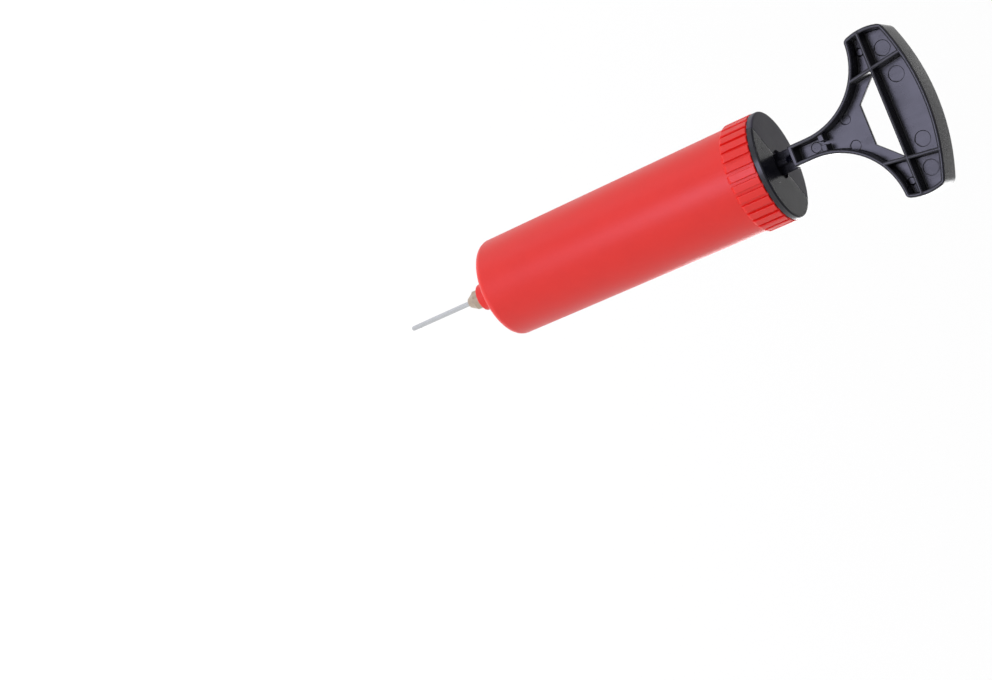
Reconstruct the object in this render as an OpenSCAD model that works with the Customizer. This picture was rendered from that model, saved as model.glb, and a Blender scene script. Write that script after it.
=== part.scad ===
// Hand pump for balls: a ribbed plastic barrel, a one-piece T-handle plunger held in by a cap in
// two halves, a floating ring as the intake valve, a disc valve in the nozzle and a screw-in needle.
// Millimetres. +Z runs from the needle to the handle, the handle's bar lies along X, and the origin
// is on the axis where the needle leaves its hub.

/* [Barrel] */
// Outside diameter of the barrel just above its rounded bottom edge
barrel_d = 42; // [34:0.5:52]
// Length of the barrel, bottom face to mouth, without the nozzle
barrel_len = 129; // [100:1:160]
// Thickness of the barrel's wall
barrel_wall = 2; // [1.6:0.1:2.6]
// Thickness of the barrel's end wall
end_wall = 2.5; // [2:0.1:3.5]
// How much the outside radius grows from the bottom to the collar
barrel_draft = 0.35; // [0:0.05:0.6]
// Radius of the rounded bottom edge
bottom_round = 3.5; // [2:0.25:4]

/* [Ribbed collar] */
// Length of the ribbed collar round the mouth
collar_len = 12; // [8:0.5:16]
// How far the ribs stand out of the barrel
rib_height = 1; // [0.6:0.1:1.4]
// Number of ribs
rib_count = 32; // [24:1:36]

/* [Nozzle and needle] */
// Outside diameter of the nozzle boss
nozzle_d = 11.5; // [11:0.25:15]
// Length of the nozzle boss below the barrel
nozzle_len = 10; // [9:0.5:13]
// Outside diameter of the needle's thread
thread_d = 7.7; // [6:0.1:8]
// Length of the needle's thread
thread_len = 5.5; // [4:0.25:6]
// Diameter of the needle's grip
hub_d = 9; // [7.5:0.25:11]
// Length of the needle's grip and cone together
hub_len = 6.5; // [5:0.5:9]
// Outside diameter of the needle's tube
needle_d = 2.1; // [1.8:0.1:2.6]
// Length of the needle's straight tube
needle_len = 30; // [24:1:40]

/* [Outlet valve] */
// Diameter of the rubber valve disc
disc_d = 7.4; // [6:0.1:7.6]
// Thickness of the rubber valve disc
disc_t = 1; // [0.8:0.1:1.2]
// Distance the valve disc lifts
valve_lift = 0.5; // [0.3:0.1:0.6]

/* [Cap] */
// Thickness of the cap's flange
cap_t = 2.75; // [2:0.25:4]
// Depth of the cap's skirt inside the barrel
skirt_len = 9; // [7:0.5:14]
// Angle of the split between the two halves, measured from X
split_angle = 45; // [30:1:60]

/* [Plunger] */
// Width across the fins of the cross-shaped rod, and of the handle's neck
rod_d = 8.8; // [7:0.2:11]
// Thickness of a fin
fin_t = 2.2; // [1.6:0.1:3]
// Rod left showing between the cap and the handle at rest
rod_show = 7.4; // [5:0.2:20]
// Section diameter of the piston ring
ring_d = 3.2; // [2.4:0.1:4]
// Free play of the piston ring along its groove
ring_float = 1; // [0.6:0.1:1.6]

/* [Handle] */
// Length of the handle's neck, from its shoulder to the finger rests
neck_len = 7.7; // [6:0.1:14]
// Radius of each finger rest
finger_r = 27; // [22:0.5:33]
// Depth of the bar, from the tips of the arms to the top of the palm face
bar_depth = 21.3; // [18:0.1:27]
// Thickness of the handle
handle_t = 17; // [14:0.5:20]
// Thickness of the handle's outer walls
handle_wall = 1.7; // [1.3:0.1:2.4]
// Thickness of the handle's inner ribs
handle_rib = 1.5; // [1.2:0.1:2]
// Thickness of the web in the handle's middle plane
web_t = 2; // [1.6:0.1:3]

/* [Hidden] */
$fn = 96;

red = "#E5443B";
black = "#2A2A2F";
rubber_black = "#1C1C1E";
nickel = "#C9C6BE";
steel = "#B8BABD";

// clearances
press_gap = 0.02;
thread_gap = 0.05;
disc_gap = 0.05; // between the disc and its seat, and below the lifted disc
disc_side_gap = 0.45; // round the disc, for the air to pass
running_gap = 0.1;
ring_gap = 0.05;
ring_air_gap = 0.45; // under the piston ring, for the air to pass
rod_gap = 0.25;
piston_gap = 0.3;
stop_gap = 0.4;
nose_gap = 1; // between the piston's nose and the valve seat at the end of the stroke
cut = 1; // overshoot of a cut past the face that it leaves through
root = 0.2; // how deep a small block is sunk in the body that it grows from

// barrel, from the nozzle's mouth upwards
bore_r = barrel_d / 2 - barrel_wall;
barrel_top_r = barrel_d / 2 + barrel_draft;
collar_r = barrel_top_r + rib_height;
mouth_z = hub_len;
bottom_z = mouth_z + nozzle_len;
floor_z = bottom_z + end_wall;
top_z = bottom_z + barrel_len;
collar_z = top_z - collar_len;
nozzle_root = 1.2;
nozzle_chamfer = 0.5;
floor_round = 1.5;
lip_chamfer = 0.4;
groove_r = 0.75;
groove_floor = 0.1;

// snap bead of the cap and its groove in the bore
bead_h = 0.5;
bead_flat = 1;
bead_z = top_z - skirt_len / 2 - 1;

// needle
washer_t = 1.2;
washer_hole_r = 1.5;
socket_r = thread_d / 2 + thread_gap;
socket_end_z = mouth_z + thread_len + washer_t;
thread_end_z = mouth_z + thread_len;
hub_cone_len = hub_len / 2;
hub_cone_r = needle_d;
hub_chamfer = 0.5;
hub_edge = 0.3;
hub_flat_depth = 0.6;
hub_flat_end = 0.5; // left round at each end of a flat
tube_r = needle_d / 2;
tube_wall = 0.45;
tube_step = 0.25;
tube_neck_r = tube_r - tube_step;
tube_seat_depth = 1;
tube_seat_z = mouth_z + tube_seat_depth;
air_hole_r = tube_r - tube_wall;
side_hole_up = 4;
side_hole_z = side_hole_up - needle_len;
side_hole_r = 0.5;
air_hole_past = 1.5; // how far the air hole goes on below the side hole

// outlet valve
seat_len = 1.6;
seat_flange = 0.8;
seat_lip = 0.3;
seat_hole_r = 1.2;
seat_lip_w = 1;
seat_rim = 1;
seat_rim_chamfer = 0.5;
chamber_r = disc_d / 2 + disc_side_gap;
standoff_count = 3;
standoff = 0.5;
standoff_w = 0.9;
port_r = 1.5;
seat_face_z = floor_z - seat_len;
disc_z = seat_face_z - seat_lip - disc_gap - disc_t;
chamber_z = disc_z - valve_lift - disc_gap - standoff;

// cap
face_z = top_z + cap_t;
cap_inset = 0.2;
cap_r = collar_r - cap_inset;
cap_round = 0.75;
cap_edge = 0.3;
skirt_r = bore_r - running_gap;
skirt_t = 1.8;
skirt_chamfer = 0.4;
skirt_z = top_z - skirt_len;
rod_r = rod_d / 2;
guide_t = 1.6;
guide_r = rod_r + rod_gap + guide_t;
guide_dish_w = 1.5;
guide_dish = 1.2;
split_gap = 0.12;
cap_rib_t = 1.6;
cap_rib_up = 2;
cap_rib_root = 0.5;
peg_r = 0.7;
peg_len = 2;
peg_x = (guide_r + skirt_r) / 2;
peg_z = top_z + cap_t / 2;

// plunger
shoulder_z = face_z + rod_show;
flare_len = 3.5;
in_travel = rod_show - flare_len - stop_gap;
piston_r = bore_r - piston_gap;
disc_thick = 2;
nose_step = 1;
nose_len = 3;
nose_z = floor_z + seat_flange + in_travel + nose_gap;
front_flange_z = nose_z + disc_thick + nose_len;
ring_groove_z = front_flange_z + disc_thick;
ring_groove_len = ring_d + ring_float + 2 * ring_gap;
rear_flange_z = ring_groove_z + ring_groove_len;
ring_z = rear_flange_z - ring_gap - ring_d / 2;
ring_r = bore_r - ring_gap - ring_d / 2;
ring_groove_r = ring_r - ring_d / 2 - ring_air_gap;
notch_count = 4;
notch_w = 5;
notch_bite = 1; // how far a notch goes in past the foot of the ring's groove

// handle, in its own plane with its height measured from the shoulder
finger_x = rod_r + finger_r;
arm_z = neck_len + finger_r;
handle_len = arm_z + bar_depth;
palm_r = 90;
end_r = 20;
end_out = 1.8;
end_up = 8;
end_x = finger_x + end_out - end_r;
end_z = arm_z + end_up;
bar_wall_up = 5.9;
bar_wall_z = arm_z + bar_wall_up;
cross_rib_in = 13.6;
cross_rib_x = finger_x - cross_rib_in;
cross_rib_tilt = 8;
opening_half = 8;
opening_down = 4.8;
opening_low = arm_z - opening_down;
opening_high = bar_wall_z - handle_rib / 2;
opening_bend = opening_high - handle_rib;
opening_side = cross_rib_x - handle_rib;
pocket_h = (handle_t - web_t) / 2;
stub_up = 5.3;
stub_z = neck_len + stub_up;
stub_len = 2.2;
stub_depth = 1.9;
stub_step = 1; // how far a stub stops short of the rim
mark_depth = 0.3;
small_mark_r = 2;
large_mark_r = 3;
// places of the ejector marks, as [distance from the middle, height]
neck_mark = [0, neck_len + 0.6];
throat_mark = [5.3, neck_len + 15];
inner_bar_mark = [13, arm_z + 12.2];
outer_bar_mark = [finger_x - 7.4, arm_z + 11];
pad_place = [finger_x - 5.4, arm_z + 2.8];
pad_r = 1.4;
pad_h = 1;

// One ring's cross-section turned round the axis: a list of [radius, height] points.
module turned(points) rotate_extrude() polygon(points);

// Points of a circular arc in [radius, height], from one angle to the other.
function arc(centre, r, from, to, steps = 8) =
    [for (i = [0 : steps])
        let (a = from + (to - from) * i / steps)
        [centre[0] + r * cos(a), centre[1] + r * sin(a)]];

// Things on both sides of the YZ plane.
module both_sides() for (side = [-1, 1]) scale_x(side) children();
module scale_x(side) mirror([side < 0 ? 1 : 0, 0, 0]) children();

// The cross-shaped section of the rod, with its fins along X and Y.
module cross_section(gap = 0) {
    intersection() {
        circle(r = rod_r + gap);
        union() {
            square([2 * rod_d, fin_t + 2 * gap], center = true);
            square([fin_t + 2 * gap, 2 * rod_d], center = true);
        }
    }
}

// ---- barrel ----

module barrel_body() {
    turned(concat(
        [[socket_r, mouth_z], [nozzle_d / 2 - nozzle_chamfer, mouth_z]],
        [[nozzle_d / 2, mouth_z + nozzle_chamfer]],
        arc([nozzle_d / 2 + nozzle_root, bottom_z - nozzle_root], nozzle_root, 180, 90),
        arc([barrel_d / 2 - bottom_round, bottom_z + bottom_round], bottom_round, -90, 0),
        [[barrel_top_r, collar_z], [collar_r, collar_z + rib_height]],
        [[collar_r, top_z - lip_chamfer], [collar_r - lip_chamfer, top_z], [bore_r, top_z]],
        bead_points(bore_r, bead_flat + 2 * running_gap, -1),
        arc([bore_r - floor_round, floor_z + floor_round], floor_round, 0, -90),
        [[chamber_r, floor_z], [chamber_r, chamber_z], [port_r, chamber_z]],
        [[port_r, socket_end_z], [socket_r, socket_end_z]]));
}

// The step out and back in of the snap bead or its groove, walked up the axis, or down it if up is -1.
function bead_points(r, flat, up = 1) =
    [for (step = [[0, -flat / 2 - bead_h], [bead_h, -flat / 2], [bead_h, flat / 2], [0, flat / 2 + bead_h]])
        [r + step[0], bead_z + up * step[1]]];

module rib_grooves() {
    for (i = [0 : rib_count - 1])
        rotate([0, 0, (i + 0.5) * 360 / rib_count])
            translate([barrel_top_r + groove_floor + groove_r, 0, collar_z - cut])
                cylinder(r = groove_r, h = collar_len + 2 * cut, $fn = 24);
}

// Low bars that keep the open valve disc off the port.
module valve_standoffs() {
    for (i = [0 : standoff_count - 1])
        rotate([0, 0, i * 360 / standoff_count])
            translate([port_r + root, -standoff_w / 2, chamber_z - root])
                cube([chamber_r - port_r, standoff_w, standoff + root]);
}

module barrel() {
    color(red) {
        difference() {
            barrel_body();
            rib_grooves();
        }
        valve_standoffs();
    }
}

// ---- cap in two halves ----

module cap_body() {
    difference() {
        union() {
            turned(concat(
                [[rod_r / 2, skirt_z], [guide_r, skirt_z], [guide_r, top_z]],
                [[skirt_r - skirt_t, top_z], [skirt_r - skirt_t, skirt_z]],
                [[skirt_r - skirt_chamfer, skirt_z], [skirt_r, skirt_z + skirt_chamfer]],
                bead_points(skirt_r, bead_flat),
                [[skirt_r, top_z + running_gap], [cap_r - cap_edge, top_z + running_gap]],
                [[cap_r, top_z + running_gap + cap_edge]],
                arc([cap_r - cap_round, face_z - cap_round], cap_round, 0, 90),
                [[rod_r / 2, face_z]]));
            cap_ribs();
        }
        translate([0, 0, skirt_z - cut])
            linear_extrude(skirt_len + cap_t + 2 * cut) cross_section(rod_gap);
        translate([0, 0, face_z - guide_dish])
            cylinder(r = rod_r + guide_dish_w, h = guide_dish + cut);
    }
}

// Ribs that tie the guide to the skirt, clear of the split.
module cap_ribs() {
    for (angle = [45, 90, 135], turn = [0, 180])
        rotate([0, 0, split_angle + angle + turn])
            translate([guide_r - cap_rib_root, -cap_rib_t / 2, skirt_z + cap_rib_up])
                cube([skirt_r - skirt_t - guide_r + 2 * cap_rib_root, cap_rib_t,
                    skirt_len - cap_rib_up + cap_t / 2]);
}

// Keeps the half on one side of the split plane.
module half(side) {
    intersection() {
        cap_body();
        rotate([0, 0, split_angle])
            translate([-collar_r - cut, side > 0 ? split_gap / 2 : -collar_r - cut, skirt_z - cut])
                cube([2 * (collar_r + cut), collar_r + cut - split_gap / 2, skirt_len + cap_t + 3 * cut]);
    }
}

// The two pegs that line the halves up, or the holes that take them.
module pegs(r, length) {
    rotate([0, 0, split_angle])
        for (x = [-peg_x, peg_x])
            translate([x, 0, peg_z]) rotate([-90, 0, 0])
                translate([0, 0, -length]) cylinder(r = r, h = 2 * length, $fn = 32);
}

module cap_rear_half() {
    color(black) {
        difference() {
            half(1);
            pegs(peg_r + running_gap, peg_len + running_gap);
        }
    }
}

module cap_front_half() {
    color(black) {
        half(-1);
        pegs(peg_r, peg_len);
    }
}

// ---- plunger: handle, rod and piston in one moulding ----

// Outline of the handle in its own plane, drawn in by inset all round.
module handle_outline(inset = 0) {
    difference() {
        intersection() {
            translate([0, handle_len - palm_r]) circle(r = palm_r - inset, $fn = 180);
            union() {
                translate([-end_x, inset]) square([2 * end_x, handle_len]);
                both_sides() translate([end_x, end_z]) circle(r = end_r - inset);
            }
        }
        both_sides() {
            translate([finger_x, neck_len]) circle(r = finger_r + inset);
            translate([rod_r - inset, -cut]) square([3 * finger_r, neck_len + cut]);
        }
    }
}

module cross_rib() {
    translate([cross_rib_x, bar_wall_z]) rotate(-cross_rib_tilt)
        translate([-handle_rib / 2, -handle_len / 2]) square([handle_rib, handle_len]);
}

// What is hollowed out of each side of the handle.
module pocket_outline() {
    difference() {
        handle_outline(handle_wall);
        translate([-handle_len, bar_wall_z - handle_rib / 2]) square([2 * handle_len, handle_rib]);
        both_sides() intersection() {
            cross_rib();
            translate([0, opening_low - handle_rib]) square([handle_len, handle_len]);
        }
    }
}

// The opening through the web between the arms and the bar.
module opening_outline() {
    polygon([
        [-opening_half, opening_low], [opening_half, opening_low],
        [opening_side, opening_bend], [opening_side, opening_high],
        [-opening_side, opening_high], [-opening_side, opening_bend]]);
}

// Marks of the ejector pins, pressed into the front of the web.
module ejector_marks() {
    translate(neck_mark) circle(r = small_mark_r);
    both_sides() {
        translate(throat_mark) circle(r = small_mark_r);
        for (place = [inner_bar_mark, outer_bar_mark]) translate(place) circle(r = large_mark_r);
    }
}

// Small blocks in the neck and round pads in the arms, standing on the front of the web.
module web_blocks() {
    both_sides() {
        translate([rod_r - handle_wall - stub_depth, stub_z - stub_len / 2])
            square([stub_depth + handle_wall / 2, stub_len]);
    }
}

module web_pads() both_sides() translate(pad_place) circle(r = pad_r);

module handle() {
    translate([0, 0, shoulder_z]) rotate([90, 0, 0]) {
        difference() {
            translate([0, 0, -handle_t / 2]) linear_extrude(handle_t) handle_outline();
            translate([0, 0, web_t / 2]) linear_extrude(pocket_h + cut) pocket_outline();
            translate([0, 0, -web_t / 2 - pocket_h - cut]) linear_extrude(pocket_h + cut) pocket_outline();
            translate([0, 0, -handle_t]) linear_extrude(2 * handle_t) opening_outline();
            translate([0, 0, web_t / 2 - mark_depth]) linear_extrude(cut) ejector_marks();
        }
        linear_extrude(handle_t / 2 - stub_step) web_blocks();
        linear_extrude(web_t / 2 + pad_h) web_pads();
    }
}

// The fins along Y widen to the full thickness of the handle.
module rod_flare() {
    translate([-fin_t / 2, 0, shoulder_z + handle_wall / 2]) rotate([90, 0, 90]) linear_extrude(fin_t)
        polygon([
            [-handle_t / 2, 0], [-handle_t / 2, -handle_wall / 2],
            [-rod_r, -flare_len - handle_wall / 2], [rod_r, -flare_len - handle_wall / 2],
            [handle_t / 2, -handle_wall / 2], [handle_t / 2, 0]]);
}

module rod() {
    translate([0, 0, nose_z + disc_thick / 2])
        linear_extrude(shoulder_z - nose_z - disc_thick / 2 + handle_wall / 2) cross_section();
}

// Notches that let air past a flange.
module air_notches(z) {
    for (i = [0 : notch_count - 1])
        rotate([0, 0, (i + 0.5) * 360 / notch_count])
            translate([ring_groove_r - notch_bite, -notch_w / 2, z - cut])
                cube([bore_r, notch_w, disc_thick + 2 * cut]);
}

module piston() {
    difference() {
        union() {
            translate([0, 0, nose_z]) cylinder(r = piston_r - nose_step, h = disc_thick);
            translate([0, 0, front_flange_z]) cylinder(r = piston_r, h = disc_thick);
        }
        air_notches(nose_z);
        air_notches(front_flange_z);
    }
    translate([0, 0, front_flange_z + disc_thick / 2])
        cylinder(r = ring_groove_r, h = rear_flange_z - front_flange_z);
    translate([0, 0, rear_flange_z]) cylinder(r = piston_r, h = disc_thick);
}

module plunger() {
    color(black) {
        handle();
        rod_flare();
        rod();
        piston();
    }
}

module piston_ring() {
    color(rubber_black)
        translate([0, 0, ring_z]) rotate_extrude()
            translate([ring_r, 0]) circle(r = ring_d / 2, $fn = 48);
}

// ---- outlet valve ----

module valve_seat() {
    color(black)
        turned([
            [seat_hole_r, seat_face_z - seat_lip],
            [seat_hole_r + seat_lip_w, seat_face_z - seat_lip], [seat_hole_r + seat_lip_w, seat_face_z],
            [chamber_r - press_gap, seat_face_z], [chamber_r - press_gap, floor_z],
            [chamber_r + seat_rim, floor_z],
            [chamber_r + seat_rim - seat_rim_chamfer, floor_z + seat_flange],
            [seat_hole_r, floor_z + seat_flange]]);
}

module valve_disc() {
    color(rubber_black)
        translate([0, 0, disc_z]) cylinder(d = disc_d, h = disc_t);
}

module nozzle_washer() {
    color(rubber_black)
        turned([
            [washer_hole_r, thread_end_z], [thread_d / 2, thread_end_z],
            [thread_d / 2, socket_end_z], [washer_hole_r, socket_end_z]]);
}

// ---- needle ----

module needle_hub() {
    hub_r = hub_d / 2;
    thread_r = thread_d / 2;
    color(nickel)
        difference() {
            turned([
                [tube_neck_r, 0], [hub_cone_r, 0], [hub_r - hub_chamfer, hub_cone_len],
                [hub_r, hub_cone_len + hub_chamfer], [hub_r, mouth_z - hub_edge],
                [hub_r - hub_edge, mouth_z], [thread_r, mouth_z],
                [thread_r, thread_end_z - hub_chamfer], [thread_r - hub_chamfer, thread_end_z],
                [air_hole_r, thread_end_z], [air_hole_r, tube_seat_z], [tube_neck_r, tube_seat_z]]);
            hub_flats();
        }
}

// Two flats for a key, across the grip from its cone to just short of its end.
module hub_flats() {
    both_sides() translate([hub_d / 2 - hub_flat_depth, -hub_d, -cut])
        cube([hub_d, 2 * hub_d, mouth_z - hub_flat_end + cut]);
}

module needle_tube() {
    color(steel)
        difference() {
            turned(concat(
                [[0, -needle_len - tube_r]],
                arc([0, -needle_len], tube_r, -90, 0),
                [[tube_r, 0], [tube_neck_r, 0], [tube_neck_r, tube_seat_z], [air_hole_r, tube_seat_z]],
                [[air_hole_r, side_hole_z - air_hole_past], [0, side_hole_z - air_hole_past]]));
            translate([-needle_d, 0, side_hole_z]) rotate([0, 90, 0])
                cylinder(r = side_hole_r, h = 2 * needle_d, $fn = 32);
        }
}

barrel();
cap_rear_half();
cap_front_half();
plunger();
piston_ring();
valve_seat();
valve_disc();
nozzle_washer();
needle_hub();
needle_tube();
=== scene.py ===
# %% [markdown]
# # A hand pump for balls
#
# The pump is a short plastic cylinder with a ribbed collar, a black T-shaped handle whose rod runs
# in through a cap, and a thin steel needle that screws into the nozzle. The sizes and the moving
# bodies come from the engineering model, so this script only gives each visible piece its finished
# shape, its edges and its material. Lengths are written in millimetres and multiplied by `mm`,
# because Blender works in metres.

from math import cos, pi, radians, sin, tan

import bmesh
import bpy
from mathutils import Matrix, Vector


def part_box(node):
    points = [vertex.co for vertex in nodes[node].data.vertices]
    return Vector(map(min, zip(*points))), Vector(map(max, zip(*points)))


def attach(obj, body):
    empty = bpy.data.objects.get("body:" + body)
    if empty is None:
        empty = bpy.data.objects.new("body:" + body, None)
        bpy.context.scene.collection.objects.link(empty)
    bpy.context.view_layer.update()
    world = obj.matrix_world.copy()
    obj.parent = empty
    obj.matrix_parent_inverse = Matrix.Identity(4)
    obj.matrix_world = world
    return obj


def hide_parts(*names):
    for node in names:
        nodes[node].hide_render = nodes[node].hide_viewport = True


mm = 0.001
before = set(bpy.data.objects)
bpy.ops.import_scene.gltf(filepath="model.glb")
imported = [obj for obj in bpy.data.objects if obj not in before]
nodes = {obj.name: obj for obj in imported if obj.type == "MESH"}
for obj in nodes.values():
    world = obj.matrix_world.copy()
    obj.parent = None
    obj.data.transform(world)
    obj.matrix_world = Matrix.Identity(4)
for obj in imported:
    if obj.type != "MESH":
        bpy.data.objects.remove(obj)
bpy.context.view_layer.update()

# %% [markdown]
# ## The places that everything else is measured from
#
# A box round each engineering node gives the heights and radii of the fits. The few sizes that a box
# can't show, such as the wall or the height of the handle, are written here once by name.

# %% Places and sizes
barrel_low, barrel_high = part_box("barrel")
washer_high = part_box("nozzle_washer")[1]
seat_low, seat_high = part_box("valve_seat")
plunger_low, plunger_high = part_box("plunger")

mouth_z, top_z = barrel_low.z, barrel_high.z
collar_r = barrel_high.x
handle_half = 8.5 * mm
handle_height = 56 * mm
shoulder_z = plunger_high.z - handle_height

rib_height = 1 * mm
rib_count = 32
collar_len = 12 * mm
barrel_draft = 0.35 * mm
barrel_wall = 2 * mm
barrel_top_r = collar_r - rib_height
barrel_foot_r = barrel_top_r - barrel_draft
bore_r = barrel_foot_r - barrel_wall
nozzle_r = 5.75 * mm
nozzle_len = 10 * mm
bottom_z = mouth_z + nozzle_len
seat_flange = 0.8 * mm
floor_z = seat_high.z - seat_flange
press_gap = 0.05 * mm
socket_r = washer_high.x + press_gap
print("barrel %.1f mm long, collar %.1f mm across" % ((top_z - bottom_z) / mm, 2 * collar_r / mm))

# %% [markdown]
# ## Camera
#
# The pump is looked at from its front and a little from above the handle's end, and the camera is
# rolled so that the pump lies slanting across the upper right of the frame. The place is written as
# a direction, a distance and a roll about the line of sight, which is easier to adjust than a
# matrix of numbers.

# %% Camera
azimuth, elevation, roll = radians(4.455), radians(27.92), radians(-66.58)
aim = Vector((18.5 * mm, 1.4 * mm, bottom_z - 12.3 * mm))
camera_distance = 777.2 * mm

back = Vector((sin(azimuth) * cos(elevation), -cos(azimuth) * cos(elevation), sin(elevation)))
level_right = (-back).cross(Vector((0, 0, 1))).normalized()
level_up = level_right.cross(-back)
up = cos(roll) * level_up + sin(roll) * level_right
right = up.cross(back)

camera = bpy.data.objects.new("camera", bpy.data.cameras.new("camera"))
camera.data.sensor_width = 36
camera.data.lens = 67.03
camera.data.clip_start, camera.data.clip_end = 0.05, 20
turn = Matrix((right, up, back)).transposed().to_4x4()
camera.matrix_world = Matrix.Translation(aim + camera_distance * back) @ turn
bpy.context.scene.collection.objects.link(camera)
bpy.context.scene.camera = camera
print("camera at", [round(v / mm) for v in camera.location], "mm")

# %% [markdown]
# ## Helpers for materials
#
# Every finish below is a small node tree on top of one Principled shader. One helper adds a node,
# sets it and links it, so that a tree reads as a list of what feeds what. Colours are written the
# way a paint chart gives them, as sRGB hex, and one function turns them to the linear values that
# the renderer works with.

# %% Material helpers
def linear(hex_colour):
    """An sRGB colour such as #E5443B as linear red, green, blue and an alpha of 1."""
    parts = [int(hex_colour[i : i + 2], 16) / 255 for i in (1, 3, 5)]
    return [c / 12.92 if c <= 0.04045 else ((c + 0.055) / 1.055) ** 2.4 for c in parts] + [1]


def add(tree, kind, settings=None, **inputs):
    """A node of that kind with its settings.

    An input is a plain value or a (node, output) pair. It is named by its label, with _ for a
    space, or by its number, such as _6, where the labels of a node are all alike.
    """
    made = tree.nodes.new(kind)
    for key, value in (settings or {}).items():
        setattr(made, key, value)
    for key, value in inputs.items():
        name = key.replace("_", " ").strip()
        socket = made.inputs[int(name)] if name.isdigit() else made.inputs[name]
        if isinstance(value, tuple) and hasattr(value[0], "outputs"):
            tree.links.new(value[0].outputs[value[1]], socket)
        else:
            socket.default_value = value
    return made


def new_finish(name, **shader_values):
    """A material with one Principled shader.

    Returns the material, its tree, the shader and the object's own coordinates.
    """
    finish = bpy.data.materials.new(name)
    finish.use_nodes = True
    tree = finish.node_tree
    shader = tree.nodes["Principled BSDF"]
    for key, value in shader_values.items():
        shader.inputs[key.replace("_", " ")].default_value = value
    place = (add(tree, "ShaderNodeTexCoord"), "Object")
    return finish, tree, shader, place


def per_mm(size):
    """The texture scale at which one cell of a pattern is that many millimetres across."""
    return 1 / (size * mm)


# %% [markdown]
# ## Moulded red polyethylene
#
# The barrel is injection moulded in polyethylene, a waxy, slightly cloudy plastic. The eye reads it
# from three things: a broad soft sheen instead of a sharp reflection, a little light that
# travels inside the wall and warms the edges, and faint clouds where the melt cooled unevenly. A
# fine spark-eroded grain on the mould breaks up the sheen. The real grain is about 0.05 mm,
# too fine to show, so it is drawn at 0.35 mm.

# %% Red polyethylene
def moulded_red_polyethylene():
    finish, tree, shader, place = new_finish(
        "moulded_red_polyethylene", IOR=1.51, Subsurface_Weight=0.12, Subsurface_Scale=1.0 * mm
    )
    shader.inputs["Subsurface Radius"].default_value = (2.4, 0.5, 0.35)
    cloud = add(tree, "ShaderNodeTexNoise", Vector=place, Scale=per_mm(14), Detail=3.0)
    speck = add(tree, "ShaderNodeTexNoise", Vector=place, Scale=per_mm(0.9), Detail=2.0)
    mottle = add(
        tree, "ShaderNodeMath", {"operation": "MULTIPLY_ADD"}, _0=(speck, "Fac"), _1=0.35, _2=(cloud, "Fac")
    )
    tint = add(tree, "ShaderNodeMapRange", Value=(mottle, "Value"), From_Min=0.5, From_Max=0.85)
    colour = add(
        tree,
        "ShaderNodeMix",
        {"data_type": "RGBA"},
        Factor=(tint, "Result"),
        _6=linear("#E61A10"),
        _7=linear("#EA1F14"),
    )
    sheen = add(
        tree,
        "ShaderNodeMapRange",
        Value=(cloud, "Fac"),
        From_Min=0.3,
        From_Max=0.7,
        To_Min=0.36,
        To_Max=0.44,
    )
    grain = add(tree, "ShaderNodeTexNoise", Vector=place, Scale=per_mm(0.35), Detail=2.0)
    bump = add(tree, "ShaderNodeBump", Height=(grain, "Fac"), Distance=0.02 * mm, Strength=0.35)
    tree.links.new(colour.outputs[2], shader.inputs["Base Color"])
    tree.links.new(sheen.outputs["Result"], shader.inputs["Roughness"])
    tree.links.new(bump.outputs["Normal"], shader.inputs["Normal"])
    return finish


red_plastic = moulded_red_polyethylene()

# %% [markdown]
# ## Moulded black polypropylene
#
# The handle, the rod and the cap are a black polypropylene that shows a satin gloss. Black plastic is
# mostly seen by what it mirrors, so its roughness matters more than its colour: slightly uneven,
# with a few duller patches where hands have rubbed it, and hairline flow marks that run along the
# part from where the melt came in. One half of the cap comes from a mould with a coarser grain, so it is
# rougher, and it is also painted a lighter grey than the other half: painted light that stands in for the
# brighter light this half catches. The function takes its colours and roughness as arguments.

# %% Black polypropylene
def moulded_black_polypropylene(name, dark, light, smoothest, roughest):
    finish, tree, shader, place = new_finish(name, IOR=1.49)
    cloud = add(tree, "ShaderNodeTexNoise", Vector=place, Scale=per_mm(11), Detail=4.0)
    colour = add(
        tree,
        "ShaderNodeMix",
        {"data_type": "RGBA"},
        Factor=(cloud, "Fac"),
        _6=linear(dark),
        _7=linear(light),
    )
    stretched = add(tree, "ShaderNodeMapping", Vector=place, Scale=(1.0, 1.0, 0.12))
    flow = add(tree, "ShaderNodeTexNoise", Vector=(stretched, "Vector"), Scale=per_mm(1.6), Detail=3.0)
    both = add(
        tree, "ShaderNodeMath", {"operation": "MULTIPLY_ADD"}, _0=(flow, "Fac"), _1=0.4, _2=(cloud, "Fac")
    )
    gloss = add(
        tree,
        "ShaderNodeMapRange",
        Value=(both, "Value"),
        From_Min=0.45,
        From_Max=0.95,
        To_Min=smoothest,
        To_Max=roughest,
    )
    grain = add(tree, "ShaderNodeTexNoise", Vector=place, Scale=per_mm(0.3), Detail=2.0)
    bump = add(tree, "ShaderNodeBump", Height=(grain, "Fac"), Distance=0.015 * mm, Strength=0.3)
    tree.links.new(colour.outputs[2], shader.inputs["Base Color"])
    tree.links.new(gloss.outputs["Result"], shader.inputs["Roughness"])
    tree.links.new(bump.outputs["Normal"], shader.inputs["Normal"])
    return finish


black_plastic = moulded_black_polypropylene(
    "satin_black_polypropylene", dark="#0E0E16", light="#151521", smoothest=0.2, roughest=0.3
)
# The rear half of the cap: rougher, and painted a lighter grey as painted light for the brighter light it
# catches.
grained_black_painted_light = moulded_black_polypropylene(
    "grained_black_polypropylene_painted_light", dark="#353240", light="#3D3A48", smoothest=0.42, roughest=0.5
)

# %% [markdown]
# ## Rubber, plated brass and steel
#
# The sealing parts are pressed nitrile rubber: nearly black, matt, with a dusty bloom. The grip of the
# needle is turned brass with a thin coat of nickel, so it is a warm grey metal with fine rings left
# by the lathe. The tube is drawn stainless steel, polished along its length, which stretches its
# highlights round it.

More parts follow.
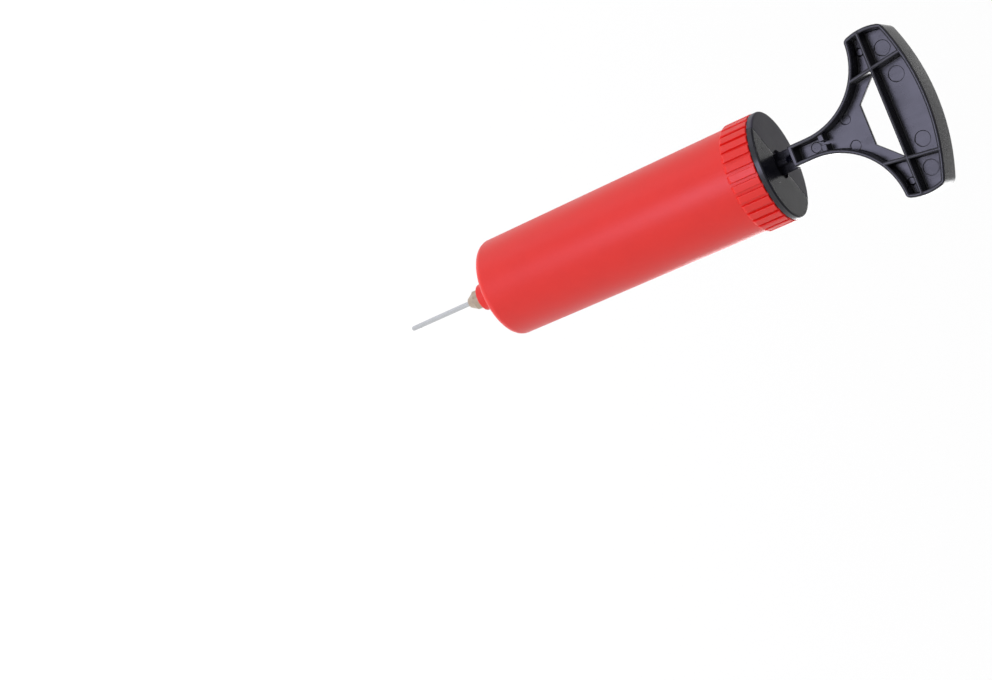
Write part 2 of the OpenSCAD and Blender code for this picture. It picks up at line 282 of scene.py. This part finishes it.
# %% Rubber, brass and steel
def pressed_nitrile_rubber():
    finish, tree, shader, place = new_finish("pressed_nitrile_rubber", IOR=1.52)
    bloom = add(tree, "ShaderNodeTexNoise", Vector=place, Scale=per_mm(2.5), Detail=5.0)
    colour = add(
        tree,
        "ShaderNodeMix",
        {"data_type": "RGBA"},
        Factor=(bloom, "Fac"),
        _6=linear("#141416"),
        _7=linear("#2B2B2D"),
    )
    dull = add(tree, "ShaderNodeMapRange", Value=(bloom, "Fac"), To_Min=0.55, To_Max=0.85)
    bump = add(tree, "ShaderNodeBump", Height=(bloom, "Fac"), Distance=0.02 * mm, Strength=0.3)
    tree.links.new(colour.outputs[2], shader.inputs["Base Color"])
    tree.links.new(dull.outputs["Result"], shader.inputs["Roughness"])
    tree.links.new(bump.outputs["Normal"], shader.inputs["Normal"])
    return finish


def turned_nickel_plated_brass():
    finish, tree, shader, place = new_finish("turned_nickel_plated_brass", Metallic=1.0)
    along = add(tree, "ShaderNodeMapping", Vector=place, Scale=(0.05, 0.05, 1.0))
    rings = add(tree, "ShaderNodeTexNoise", Vector=(along, "Vector"), Scale=per_mm(0.15), Detail=2.0)
    stain = add(tree, "ShaderNodeTexNoise", Vector=place, Scale=per_mm(2.0), Detail=4.0)
    colour = add(
        tree,
        "ShaderNodeMix",
        {"data_type": "RGBA"},
        Factor=(stain, "Fac"),
        _6=linear("#9E8D7E"),
        _7=linear("#BAA998"),
    )
    gloss = add(tree, "ShaderNodeMapRange", Value=(stain, "Fac"), To_Min=0.2, To_Max=0.42)
    bump = add(tree, "ShaderNodeBump", Height=(rings, "Fac"), Distance=0.01 * mm, Strength=0.5)
    tree.links.new(colour.outputs[2], shader.inputs["Base Color"])
    tree.links.new(gloss.outputs["Result"], shader.inputs["Roughness"])
    tree.links.new(bump.outputs["Normal"], shader.inputs["Normal"])
    return finish


def drawn_stainless_steel():
    finish, tree, shader, place = new_finish("drawn_stainless_steel", Metallic=1.0)
    along = add(tree, "ShaderNodeMapping", Vector=place, Scale=(1.0, 1.0, 0.03))
    lines = add(tree, "ShaderNodeTexNoise", Vector=(along, "Vector"), Scale=per_mm(0.12), Detail=3.0)
    colour = add(
        tree,
        "ShaderNodeMix",
        {"data_type": "RGBA"},
        Factor=(lines, "Fac"),
        _6=linear("#A9ABAD"),
        _7=linear("#CACCCE"),
    )
    gloss = add(tree, "ShaderNodeMapRange", Value=(lines, "Fac"), To_Min=0.18, To_Max=0.36)
    bump = add(tree, "ShaderNodeBump", Height=(lines, "Fac"), Distance=0.005 * mm, Strength=0.4)
    tree.links.new(colour.outputs[2], shader.inputs["Base Color"])
    tree.links.new(gloss.outputs["Result"], shader.inputs["Roughness"])
    tree.links.new(bump.outputs["Normal"], shader.inputs["Normal"])
    return finish


rubber = pressed_nitrile_rubber()
plated_brass = turned_nickel_plated_brass()
steel = drawn_stainless_steel()
finishes = (red_plastic, black_plastic, grained_black_painted_light, rubber, plated_brass, steel)
print("finishes:", ", ".join(finish.name for finish in finishes))

# %% [markdown]
# ## Turning a profile, with Geometry Nodes
#
# The barrel is a body of revolution: one outline swept round the axis. That is a rule, so a small
# Geometry Nodes tree does it. The outline is drawn as a chain of edges, the tree turns it into a
# curve and sweeps it round a small circle. The corners are rounded in the outline itself by a
# fillet function, which gives real edges that catch the light, with no bevel to go wrong later.

# %% Rounded outlines
nearly_straight = radians(89.5)
most_of_a_side = 0.49


def rounded(corners, steps=6):
    """A closed outline with each corner (x, y, radius) replaced by an arc that touches both sides."""
    outline = []
    for i, (x, y, radius) in enumerate(corners):
        here = Vector((x, y))
        before = Vector(corners[i - 1][:2]) - here
        after = Vector(corners[(i + 1) % len(corners)][:2]) - here
        half = before.angle(after) / 2
        if radius == 0 or half > nearly_straight:
            outline.append(here)
            continue
        reach = min(radius / tan(half), most_of_a_side * before.length, most_of_a_side * after.length)
        start, end = here + before.normalized() * reach, here + after.normalized() * reach
        centre = here + (before.normalized() + after.normalized()).normalized() * (reach / cos(half))
        for step in range(steps + 1):
            spoke = (start - centre).lerp(end - centre, step / steps)
            outline.append(centre + spoke.normalized() * (reach * tan(half)))
    return outline


# %% The turning tree
def tree_with(name, inputs):
    """An empty Geometry Nodes tree that takes and gives a geometry, with these named inputs."""
    tree = bpy.data.node_groups.new(name, "GeometryNodeTree")
    tree.interface.new_socket("Geometry", in_out="INPUT", socket_type="NodeSocketGeometry")
    tree.interface.new_socket("Geometry", in_out="OUTPUT", socket_type="NodeSocketGeometry")
    for label, kind in inputs:
        tree.interface.new_socket(label, in_out="INPUT", socket_type="NodeSocket" + kind)
    return tree, tree.nodes.new("NodeGroupInput"), tree.nodes.new("NodeGroupOutput")


def end_tree(tree, given, result, out):
    """Every tree ends in real geometry with its material on it."""
    real = add(tree, "GeometryNodeRealizeInstances", Geometry=result)
    painted = add(
        tree, "GeometryNodeSetMaterial", Geometry=(real, "Geometry"), Material=(given, "Material")
    )
    tree.links.new(painted.outputs["Geometry"], out.inputs["Geometry"])


def turning_tree():
    tree, given, out = tree_with(
        "turned_round_the_axis", [("Core radius", "Float"), ("Sides", "Int"), ("Material", "Material")]
    )
    outline = add(tree, "GeometryNodeMeshToCurve", Mesh=(given, "Geometry"))
    circle = add(
        tree, "GeometryNodeCurvePrimitiveCircle", Resolution=(given, "Sides"), Radius=(given, "Core radius")
    )
    swept = add(
        tree, "GeometryNodeCurveToMesh", Curve=(circle, "Curve"), Profile_Curve=(outline, "Curve")
    )
    end_tree(tree, given, (swept, "Mesh"), out)
    return tree


turning = turning_tree()

# %% [markdown]
# ## From a modifier to a plain mesh
#
# The moving bodies need ordinary meshes. This helper evaluates the tree once, keeps the result,
# welds its seam, turns all faces outwards, and marks the edges that should stay crisp. Everything
# under 35 degrees is shaded smooth, and a Weighted Normal modifier keeps the large faces flat, so
# that only the narrow rounded edges bend the light.

# %% Plain meshes
crisp_angle = radians(35)


def edge_angle(edge):
    return edge.calc_face_angle(0) if len(edge.link_faces) == 2 else 0


def put_in_scene(mesh, name):
    piece = bpy.data.objects.new(name, mesh)
    bpy.context.scene.collection.objects.link(piece)
    return piece


def plain_piece(source, name, weld=0.001 * mm, outwards=True):
    """The source with its modifiers made real, as one closed mesh."""
    seen = source.evaluated_get(bpy.context.evaluated_depsgraph_get())
    mesh = bpy.data.meshes.new_from_object(seen)
    bpy.data.objects.remove(source)
    work = bmesh.new()
    work.from_mesh(mesh)
    bmesh.ops.remove_doubles(work, verts=work.verts, dist=weld)
    if outwards:
        bmesh.ops.recalc_face_normals(work, faces=work.faces)
    for edge in work.edges:
        edge.smooth = edge_angle(edge) < crisp_angle
    for face in work.faces:
        face.smooth = True
    open_edges = sum(not edge.is_manifold for edge in work.edges)
    work.to_mesh(mesh)
    work.free()
    mesh.name = name
    piece = put_in_scene(mesh, name)
    flat = piece.modifiers.new("large faces stay flat", "WEIGHTED_NORMAL")
    flat.keep_sharp = True
    flat.weight = 100
    print("%s: %d faces, %d open edges" % (name, len(mesh.polygons), open_edges))
    return piece


def with_tree(source, tree, values):
    """The tree as a modifier on the source. Each input is set by its socket's identifier."""
    modifier = source.modifiers.new(tree.name, "NODES")
    modifier.node_group = tree
    for item in tree.interface.items_tree:
        if item.item_type == "SOCKET" and item.in_out == "INPUT" and item.name in values:
            modifier[item.identifier] = values[item.name]
    return source


def turned(name, corners, finish, sides=160):
    """A closed outline of (radius, height, corner radius) turned round the Z axis."""
    core = 1 * mm
    outline = rounded(corners)
    mesh = bpy.data.meshes.new(name)
    points = [(p.x - core, -p.y, 0) for p in outline]  # the sweep lays the outline's Y along -Z
    mesh.from_pydata(points, [(i, (i + 1) % len(points)) for i in range(len(points))], [])
    source = put_in_scene(mesh, name + "_outline")
    values = {"Core radius": core, "Sides": sides, "Material": finish}
    return plain_piece(with_tree(source, turning, values), name)


# %% [markdown]
# ## The barrel
#
# The tube tapers by a third of a millimetre so that it can leave its mould, its bottom edge is well
# rounded, and a short stepped nozzle stands on the end wall. The outline goes up the outside,
# over the lip and down the bore, so the wall has its true thickness of 2 mm.

# %% Barrel shell
shell_r = barrel_top_r + 0.05 * mm
chamber_r = 4.15 * mm
disc_room = 1.6 * mm
stand_off = 0.55 * mm
chamber_z = seat_low.z - disc_room - stand_off
port_r = 1.5 * mm
bead_z = top_z - 5.5 * mm
bead_half = 0.6 * mm
bead_depth = 0.5 * mm
barrel_corners = [
    (socket_r, mouth_z, 0.25 * mm),
    (nozzle_r, mouth_z, 0.6 * mm),
    (nozzle_r, bottom_z, 1.2 * mm),
    (barrel_foot_r, bottom_z, 3.5 * mm),
    (shell_r, top_z - collar_len, 0),
    (shell_r, top_z, 0.35 * mm),
    (bore_r, top_z, 0.3 * mm),
    (bore_r, bead_z + bead_half + bead_depth, 0),
    (bore_r + bead_depth, bead_z + bead_half, 0),
    (bore_r + bead_depth, bead_z - bead_half, 0),
    (bore_r, bead_z - bead_half - bead_depth, 0),
    (bore_r, floor_z, 1.5 * mm),
    (chamber_r, floor_z, 0),
    (chamber_r, chamber_z, 0.2 * mm),
    (port_r, chamber_z, 0.2 * mm),
    (port_r, washer_high.z, 0.2 * mm),
    (socket_r, washer_high.z, 0.2 * mm),
]
barrel_shell = turned("barrel_shell", barrel_corners, red_plastic)

# %% [markdown]
# ## Ribs round the collar, with Geometry Nodes
#
# Thirty-two flat pads round the mouth give the fingers a hold. They are all alike, so one pad is
# made and a second tree sets copies of it round the axis. The pad starts with a short ramp
# and has rounded shoulders. A pad is a section that is lofted along the axis, and the height of
# each row comes from a rounded side outline.

# %% One rib
rib_root_r = barrel_top_r - 0.7 * mm
rib_width = 2.95 * mm
rib_root_width = 3.1 * mm
rib_ramp = 1 * mm
rib_crown_r = collar_r - 0.01 * mm
rib_shoulder_r = collar_r - 0.05 * mm


def one_rib():
    """One pad at the side where X is positive, as a lofted, closed mesh."""
    section = rounded(
        [
            (rib_root_r, -rib_root_width / 2, 0),
            (rib_shoulder_r, -rib_width / 2, 0.3 * mm),
            (rib_crown_r, 0, 0),
            (rib_shoulder_r, rib_width / 2, 0.3 * mm),
            (rib_root_r, rib_root_width / 2, 0),
        ],
        steps=4,
    )
    side = rounded(
        [
            (top_z - collar_len, rib_root_r, 0),
            (top_z - collar_len, barrel_top_r, 0),
            (top_z - collar_len + rib_ramp, collar_r, 0.8 * mm),
            (top_z, collar_r, 0.45 * mm),
            (top_z, rib_root_r, 0),
        ],
        steps=4,
    )[1:-1]
    work = bmesh.new()
    rows = []
    for z, outer in side:
        share = (outer - rib_root_r) / (collar_r - rib_root_r)
        rows.append([work.verts.new((rib_root_r + (p.x - rib_root_r) * share, p.y, z)) for p in section])
    for low, high in zip(rows, rows[1:]):
        for i in range(len(low)):
            j = (i + 1) % len(low)
            work.faces.new((low[i], low[j], high[j], high[i]))
    work.faces.new(rows[0][::-1])
    work.faces.new(rows[-1])
    mesh = bpy.data.meshes.new("rib")
    work.to_mesh(mesh)
    work.free()
    return mesh


# %% Thirty-two ribs
def rib_tree():
    tree, given, out = tree_with("ribs_round_the_collar", [("Count", "Int"), ("Material", "Material")])
    points = add(tree, "GeometryNodePoints", Count=(given, "Count"))
    index = add(tree, "GeometryNodeInputIndex")
    step = add(tree, "ShaderNodeMath", {"operation": "DIVIDE"}, _0=2 * pi, _1=(given, "Count"))
    angle = add(tree, "ShaderNodeMath", {"operation": "MULTIPLY"}, _0=(index, "Index"), _1=(step, "Value"))
    euler = add(tree, "ShaderNodeCombineXYZ", Z=(angle, "Value"))
    turned_by = add(tree, "FunctionNodeEulerToRotation", Euler=(euler, "Vector"))
    copies = add(
        tree,
        "GeometryNodeInstanceOnPoints",
        Points=(points, "Geometry"),
        Instance=(given, "Geometry"),
        Rotation=(turned_by, "Rotation"),
    )
    end_tree(tree, given, (copies, "Instances"), out)
    return tree


rib_source = put_in_scene(one_rib(), "rib_source")
rib_values = {"Count": rib_count, "Material": red_plastic}
collar_ribs = plain_piece(with_tree(rib_source, rib_tree(), rib_values), "collar_ribs")

# %% [markdown]
# ## Soft edges on moulded parts
#
# The handle and the cap already have the right form in the engineering model, but every edge there
# is knife sharp. A mould always leaves a small radius, and that radius is what draws the bright
# line along a rim. So each is a welded copy of the engineering mesh, its flat faces
# joined again from their triangles and cut into better shaped ones, with a Bevel modifier whose
# width is weighted edge by edge: a rim gets 0.6 mm and is nearly round on top, a small mark 0.13 mm.
# The new triangles matter, because one large face with a long thin outline can fold over itself
# when its edges are bevelled.

# %% Edge softening
widest = 1.5 * mm
soft_from = radians(30)
weld_within = 0.002 * mm
flat_within = radians(0.25)


def welded_copy(node_name):
    """A copy of an engineering mesh with its corners welded and its flat faces evenly divided."""
    work = bmesh.new()
    work.from_mesh(nodes[node_name].data)
    bmesh.ops.remove_doubles(work, verts=work.verts, dist=weld_within)
    bmesh.ops.dissolve_limit(
        work, angle_limit=flat_within, use_dissolve_boundaries=False, verts=work.verts, edges=work.edges
    )
    return work


def softened(work, name, width_of, finish, segments=3):
    """The piece with each edge over 30 degrees rounded to the width that width_of(edge) gives."""
    large = [f for f in work.faces if len(f.verts) > 4]
    bmesh.ops.triangulate(work, faces=large, quad_method="BEAUTY", ngon_method="BEAUTY")
    work.normal_update()
    weights = work.edges.layers.float.new("bevel_weight_edge")
    for edge in work.edges:
        if edge_angle(edge) > soft_from:
            edge[weights] = min(width_of(edge) / widest, 1)
    mesh = bpy.data.meshes.new(name)
    work.to_mesh(mesh)
    work.free()
    mesh.materials.append(finish)
    source = put_in_scene(mesh, name + "_sharp")
    bevel = source.modifiers.new("soft edges", "BEVEL")
    bevel.limit_method = "WEIGHT"
    bevel.width = widest
    bevel.segments = segments
    bevel.use_clamp_overlap = False
    bevel.loop_slide = False
    return plain_piece(source, name, outwards=False)


# %% [markdown]
# ## The handle and its rod
#
# Handle, neck, rod and piston are one moulding. Its outer faces lean by one degree away from the
# middle plane, where the two halves of the mould met. That lean is why the palm face shows two
# tones with a fine line between them, so it is put in here: the rim of each side moves in a little,
# and the outer walls are cut along the middle plane.

# %% Handle shape
lean_per_mm = tan(radians(1.0))


def full_thickness(face):
    """Is this an outer wall, from one side of the handle to the other?"""
    across = [v.co.y for v in face.verts]
    return max(across) - min(across) > 1.95 * handle_half


def lean_outer_walls(work):
    """Moves the rims of the outer walls in, and cuts the walls along the middle plane."""
    walls = [f for f in work.faces if full_thickness(f) and abs(f.normal.y) < 0.1]
    lean = {}
    for face in walls:
        for vert in face.verts:
            lean[vert] = lean.get(vert, Vector()) + face.normal
    for vert, out in lean.items():
        vert.co -= out.normalized() * (abs(vert.co.y) * lean_per_mm)
    edges = {e for f in walls for e in f.edges}
    verts = {v for f in walls for v in f.verts}
    geometry = walls + list(edges) + list(verts)
    bmesh.ops.bisect_plane(
        work, geom=geometry, plane_co=(0, 0, 0), plane_no=(0, 1, 0), dist=0.001 * mm
    )
    work.normal_update()
    return len(walls)


piston_top_z = plunger_low.z + 13.4 * mm
flare_z = shoulder_z - 3.6 * mm
web_half = 1 * mm
opening_low, opening_high = shoulder_z + 29.5 * mm, shoulder_z + 40.3 * mm
stub_z, stub_reach = shoulder_z + 13 * mm, 1.5 * mm
arm_tip_x = 28 * mm
near = 0.1 * mm
piston_edge = 0.25 * mm
thin_edge = 0.2 * mm
tight_corner = 0.15 * mm
rim_edge = 0.6 * mm
wall_corner = 0.3 * mm
arm_end = 1.5 * mm
mark_edge = 0.13 * mm


def handle_edge_width(edge):
    """How round each edge of the plunger is, by where it lies."""
    a, b = (v.co for v in edge.verts)
    middle, along = (a + b) / 2, (b - a).normalized()
    x, y, z = abs(middle.x), abs(middle.y), middle.z
    if z < piston_top_z:
        return piston_edge
    if z < flare_z:
        return thin_edge if edge.is_convex else tight_corner
    if z < shoulder_z + near:
        return thin_edge if edge.is_convex else 0
    if y > handle_half - near:
        return rim_edge
    if abs(along.y) > 0.9:
        if not edge.is_convex:
            return tight_corner if abs(z - stub_z) < stub_reach else wall_corner
        return arm_end if x > arm_tip_x else wall_corner
    if y < web_half + near:
        if not edge.is_convex:
            return wall_corner if y > web_half - near else mark_edge
        return thin_edge if opening_low < z < opening_high else mark_edge
    return thin_edge


plunger_work = welded_copy("plunger")
print("outer walls that lean:", lean_outer_walls(plunger_work))
handle_and_rod = softened(plunger_work, "handle_and_rod", handle_edge_width, black_plastic)

# %% [markdown]
# ## The cap in two halves
#
# The cap is moulded as two halves that close round the rod and snap into the barrel. Small bevels
# along the split make it a fine dark line with a lit edge on each side.

# %% Cap halves
cap_edge = 0.15 * mm
cap_halves = []
# The rear half takes the black that is painted a lighter grey, as painted light.
for half, finish in (("front", black_plastic), ("rear", grained_black_painted_light)):
    cap_work = welded_copy("cap_%s_half" % half)
    cap_halves.append(softened(cap_work, "cap_%s" % half, lambda edge: cap_edge, finish, segments=2))

# %% [markdown]
# ## The needle's grip
#
# The grip is a turned brass piece with two flats for a key. It gets the same soft edges, smaller
# still, because a turned edge is only broken with a file.

# %% Needle grip
filed_edge = 0.1 * mm
hub_work = welded_copy("needle_hub")
needle_grip = softened(hub_work, "needle_grip", lambda edge: filed_edge, plated_brass, segments=2)

# %% [markdown]
# ## Finishes for the parts that keep their engineering shape
#
# The needle's tube and the small sealing parts are right as they are, so they only get their
# material.

# %% Finishes on kept parts
for node_name, finish in (
    ("needle_tube", steel),
    ("piston_ring", rubber),
    ("valve_disc", rubber),
    ("nozzle_washer", rubber),
    ("valve_seat", black_plastic),
):
    nodes[node_name].material_slots[0].material = finish

# %% [markdown]
# ## What each piece rides on
#
# Each new piece moves with a body of the mechanism and stands for the engineering nodes it covers, which
# are hidden. Each row also names a material slot, which the loop doesn't use.

# %% Bodies, nodes and slots
for piece, body, node_name, slot in (
    (barrel_shell, "barrel", "barrel", "barrel_plastic"),
    (collar_ribs, "barrel", "barrel", "barrel_plastic"),
    (handle_and_rod, "plunger", "plunger", "black_plastic"),
    (cap_halves[0], "cap", "cap_front_half", "black_plastic"),
    (cap_halves[1], "cap", "cap_rear_half", "black_plastic"),
    (needle_grip, "barrel", "needle_hub", "plated_brass"),
):
    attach(piece, body)
    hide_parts(node_name)

# %% [markdown]
# ## Floor and light
#
# The pump is shown in the air over a plain pale floor, in the even light of a white studio. Black
# plastic is made visible by what it mirrors, so three of the softboxes are placed by the angle of a
# mirror: one where the flat web of the handle shows it, one behind for the other side of the web,
# and one to the side that draws the long soft streak on the barrel. The first and the last of these
# are slightly blue, as daylight from a window is. A larger one overhead gives the forms their
# shade, and a very wide one close above the floor keeps the floor white all over.

# %% Floor
floor_level = -420 * mm
floor_half = 5500 * mm


def pale_floor():
    mesh = bpy.data.meshes.new("floor")
    signs = ((-1, -1), (1, -1), (1, 1), (-1, 1))
    mesh.from_pydata([(x * floor_half, y * floor_half, floor_level) for x, y in signs], [], [(0, 1, 2, 3)])
    finish, tree, shader, place = new_finish("matt_white_paper", Roughness=0.9)
    fibres = add(tree, "ShaderNodeTexNoise", Vector=place, Scale=per_mm(3), Detail=3.0)
    colour = add(
        tree,
        "ShaderNodeMix",
        {"data_type": "RGBA"},
        Factor=(fibres, "Fac"),
        _6=linear("#F6F6F6"),
        _7=linear("#FBFBFB"),
    )
    tree.links.new(colour.outputs[2], shader.inputs["Base Color"])
    mesh.materials.append(finish)
    return put_in_scene(mesh, "floor")


pale_floor()

# %% Lights
def softbox(name, direction, distance, size, power, towards, colour):
    """A rectangular light that stands that far off in that direction and faces the place towards.

    The distance and the two sides in size are in metres, and the power is in watts.
    """
    light = bpy.data.lights.new(name, "AREA")
    light.shape = "RECTANGLE"
    light.size, light.size_y = size
    light.energy = power
    light.color = linear(colour)[:3]
    lamp = bpy.data.objects.new(name, light)
    away = Vector(direction).normalized()
    lamp.location = Vector(towards) + away * distance
    lamp.rotation_mode = "QUATERNION"
    lamp.rotation_quaternion = away.to_track_quat("Z", "Y")
    lamp.visible_camera = False
    bpy.context.scene.collection.objects.link(lamp)


handle_middle = (0, 0, shoulder_z + 28 * mm)
barrel_middle = (0, 0, (bottom_z + top_z) / 2)
floor_middle = (0, 0, floor_level)
window_blue, white = "#DAD8FF", "#FFFFFF"
for name, direction, distance, size, power, towards, colour in (
    ("web_light", (-0.1, -0.96, -0.257), 0.75, (0.3, 0.3), 1.4, handle_middle, window_blue),
    ("streak_light", (-0.80, -0.38, -0.40), 0.8, (0.3, 0.8), 0.38, barrel_middle, window_blue),
    ("top_light", (-0.35, -0.6, 0.72), 1.2, (0.9, 0.9), 1.3, barrel_middle, white),
    ("floor_light", (0, 0, 1), 0.3, (12.0, 12.0), 334.0, floor_middle, white),
    ("back_light", (0.1, 0.95, -0.2), 0.8, (0.5, 0.5), 2.0, handle_middle, white),
):
    softbox(name, direction, distance, size, power, towards, colour)


# %% [markdown]
# ## The world
#
# The world is white at eye level and below, and dims overhead. The upper side of a glossy black part
# then mirrors something dim and stays dark, while the sides of the barrel are evenly lit.

# %% World
def white_studio():
    """A world that is bright at eye level and below, and dimmer overhead."""
    world = bpy.data.worlds.new("white_studio")
    world.use_nodes = True
    tree = world.node_tree
    direction = add(tree, "ShaderNodeSeparateXYZ", Vector=(add(tree, "ShaderNodeTexCoord"), "Generated"))
    strength = add(
        tree,
        "ShaderNodeMapRange",
        Value=(direction, "Z"),
        From_Min=-0.02,
        From_Max=0.15,
        To_Min=1.0,
        To_Max=0.3,
    )
    background = tree.nodes["Background"]
    background.inputs["Color"].default_value = linear(white)
    tree.links.new(strength.outputs["Result"], background.inputs["Strength"])
    return world


bpy.context.scene.world = white_studio()
bpy.context.scene.view_settings.view_transform = "Standard"

# %% [markdown]
# ## Last update
#
# The view layer is brought up to date once more at the end.

# %% Update
bpy.context.view_layer.update()
